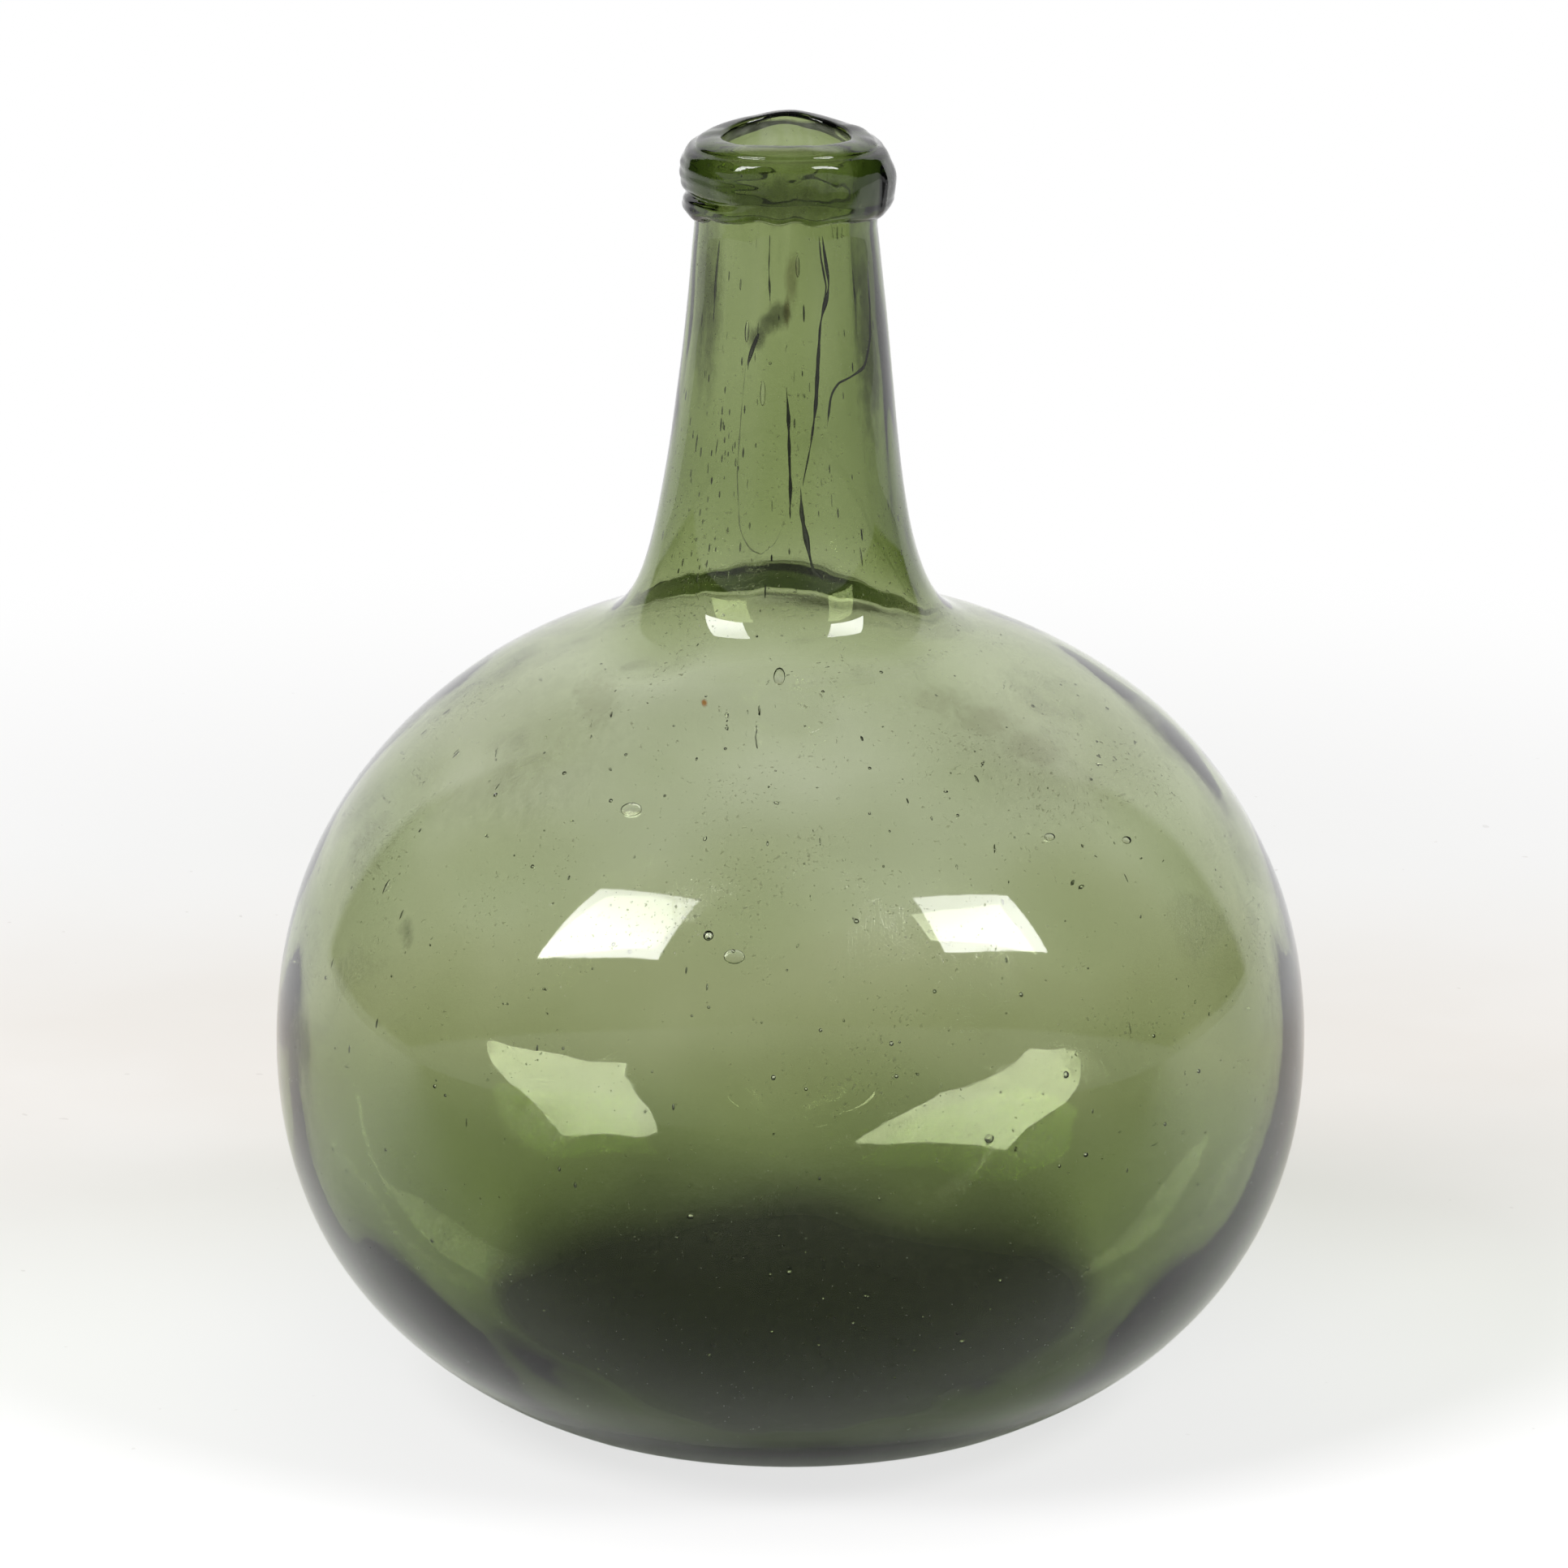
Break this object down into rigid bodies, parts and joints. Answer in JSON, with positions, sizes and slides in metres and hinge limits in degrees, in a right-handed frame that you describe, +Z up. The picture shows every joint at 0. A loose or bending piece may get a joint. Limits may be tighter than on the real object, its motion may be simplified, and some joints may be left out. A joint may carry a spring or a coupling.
{
  "type": "demijohn",
  "caption": "Free-blown green glass demijohn: wide flattened body, tapering neck, wound glass trail round the mouth, kicked-up base.",
  "frame": {"origin": "centre of the ring that the bottle stands on, on the standing surface", "axes": "+Z up through the mouth, -Y towards the picture's camera, +X to the right in the picture"},
  "size_m": [0.2992, 0.2992, 0.3791],
  "materials": {
    "green_glass": "fire-polished transparent olive-green glass with seeds, streaks and light scratches",
    "rim_glass": "thick hot-tooled dark green glass, glossy and wavy",
    "scar_glass": "rough broken glass left by the pontil rod"
  },
  "bodies": {
    "root": {"vessel": "green_glass", "rim_collar": "rim_glass", "rim_string": "rim_glass", "rim_lap": "rim_glass", "pontil_scar": "scar_glass"}
  },
  "joints": []
}
